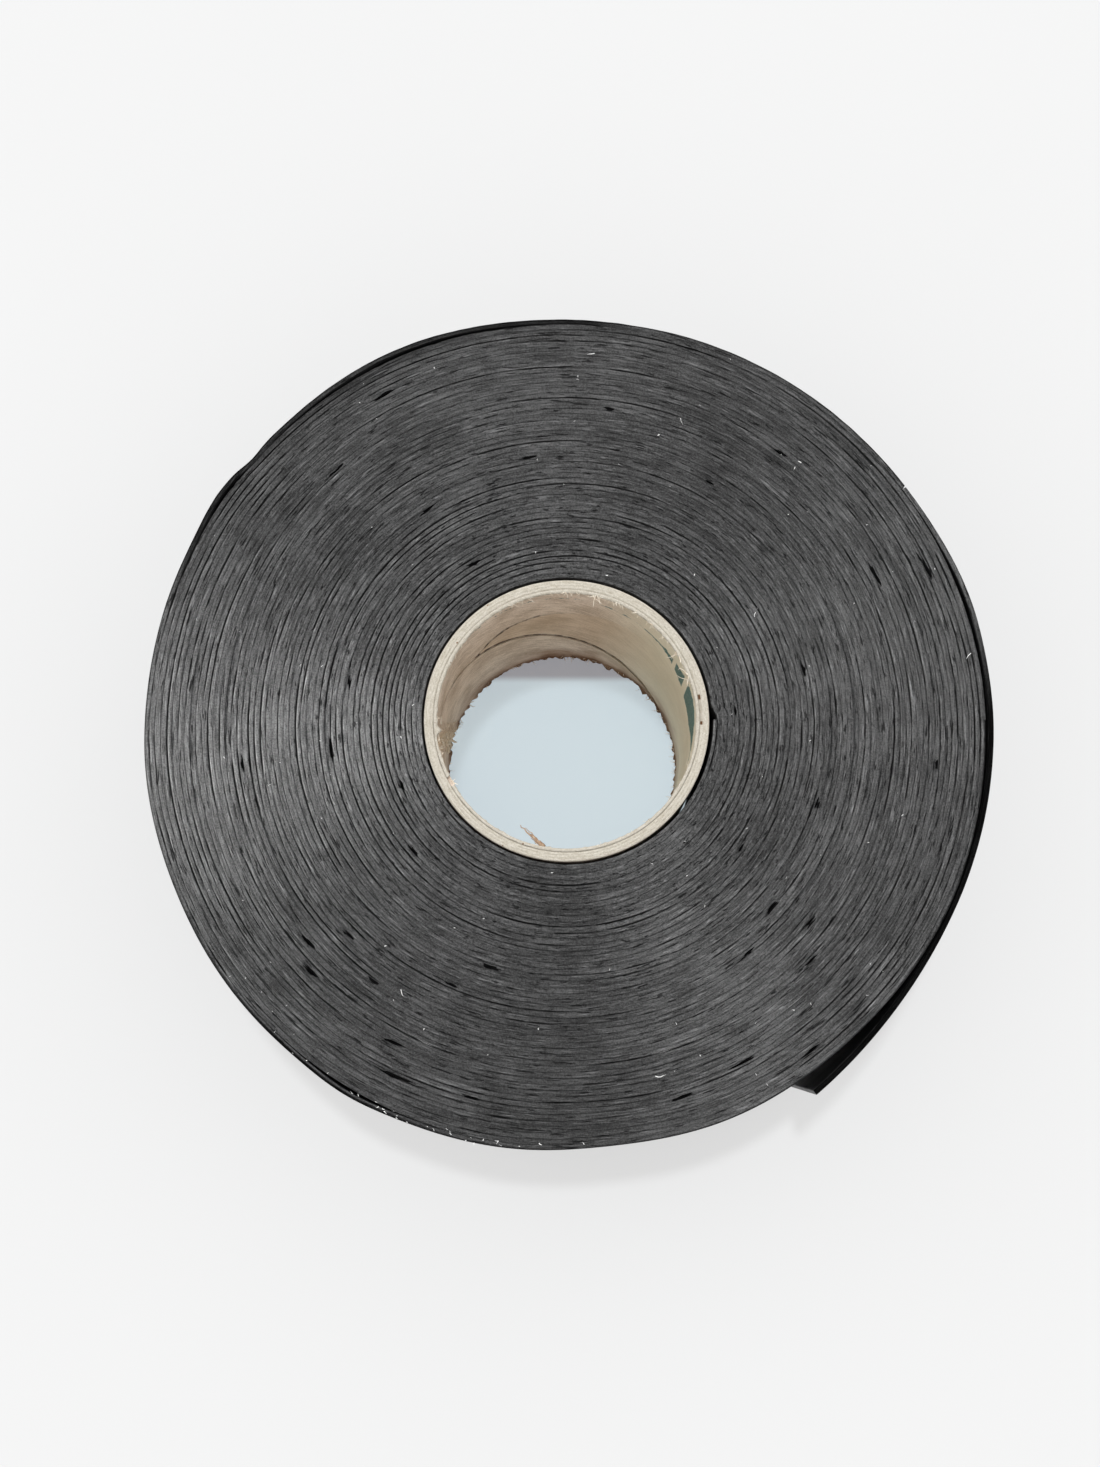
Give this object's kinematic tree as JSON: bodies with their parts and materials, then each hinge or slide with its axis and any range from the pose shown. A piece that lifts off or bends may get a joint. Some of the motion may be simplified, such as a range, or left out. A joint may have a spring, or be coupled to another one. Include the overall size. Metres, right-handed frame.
{
  "type": "electrical tape roll",
  "caption": "Roll of wide, thick black rubber electrical tape wound on a paper core, with its loose end lifting off the roll.",
  "frame": {"origin": "on the bore's axis, in the plane of the lower side face that the roll lies on", "axes": "+Z along the bore axis, up out of the upper side face; the tape's free end is at the +X, -Y side"},
  "size_m": [0.1245, 0.124, 0.048],
  "materials": {
    "tape_backing": "matte black, slit edges greyer",
    "tape_adhesive": "tacky black, low sheen",
    "core_board": "raw tan kraft board, cream at its cut rims"
  },
  "bodies": {
    "roll": {"core_ply_1": "core_board", "core_ply_2": "core_board", "core_ply_3": "core_board", "core_ply_4": "core_board", "adhesive_turns_01_08": "tape_adhesive", "backing_turns_01_08": "tape_backing", "adhesive_turns_09_16": "tape_adhesive", "backing_turns_09_16": "tape_backing", "adhesive_turns_17_24": "tape_adhesive", "backing_turns_17_24": "tape_backing", "adhesive_turns_25_32": "tape_adhesive", "backing_turns_25_32": "tape_backing", "adhesive_turns_33_40": "tape_adhesive", "backing_turns_33_40": "tape_backing", "adhesive_turns_41_47": "tape_adhesive", "backing_turns_41_47": "tape_backing", "adhesive_outer_wrap": "tape_adhesive", "backing_outer_wrap": "tape_backing"},
    "tail_1": {"adhesive_tail_1": "tape_adhesive", "backing_tail_1": "tape_backing"},
    "tail_2": {"adhesive_tail_2": "tape_adhesive", "backing_tail_2": "tape_backing"},
    "tail_3": {"adhesive_tail_3": "tape_adhesive", "backing_tail_3": "tape_backing"},
    "tail_4": {"adhesive_tail_4": "tape_adhesive", "backing_tail_4": "tape_backing"},
    "tail_5": {"adhesive_tail_5": "tape_adhesive", "backing_tail_5": "tape_backing"},
    "tail_6": {"adhesive_tail_6": "tape_adhesive", "backing_tail_6": "tape_backing"}
  },
  "joints": [
    {"name": "tail_peel", "type": "hinge", "parent": "roll", "child": "tail_1", "pos_m": [0.05738, 0.02418, 0.024], "axis": [0, 0, 1], "range_deg": [0, 11.5], "stiffness_Nm_per_rad": 0.00065},
    {"name": "tail_peel_2", "type": "hinge", "parent": "tail_1", "child": "tail_2", "pos_m": [0.06106, 0.01234, 0.024], "axis": [0, 0, 1], "range_deg": [0, 11.5], "stiffness_Nm_per_rad": 0.00065},
    {"name": "tail_peel_3", "type": "hinge", "parent": "tail_2", "child": "tail_3", "pos_m": [0.0623, 0, 0.024], "axis": [0, 0, 1], "range_deg": [0, 11.5], "stiffness_Nm_per_rad": 0.00065},
    {"name": "tail_peel_4", "type": "hinge", "parent": "tail_3", "child": "tail_4", "pos_m": [0.0608, -0.01359, 0.024], "axis": [0, 0, 1], "range_deg": [0, 11.5], "stiffness_Nm_per_rad": 0.00065},
    {"name": "end_curl", "type": "hinge", "parent": "tail_4", "child": "tail_5", "pos_m": [0.05637, -0.02653, 0.024], "axis": [0, 0, 1], "range_deg": [-1.5, 12], "stiffness_Nm_per_rad": 0.00065},
    {"name": "end_curl_2", "type": "hinge", "parent": "tail_5", "child": "tail_6", "pos_m": [0.0473, -0.04142, 0.024], "axis": [0, 0, 1], "range_deg": [-1.5, 12], "stiffness_Nm_per_rad": 0.00065}
  ],
  "couplings": [
    {"joint": "tail_peel_2", "follows": "tail_peel", "ratio": 1},
    {"joint": "tail_peel_3", "follows": "tail_peel", "ratio": 1},
    {"joint": "tail_peel_4", "follows": "tail_peel", "ratio": 1},
    {"joint": "end_curl_2", "follows": "end_curl", "ratio": 1}
  ]
}
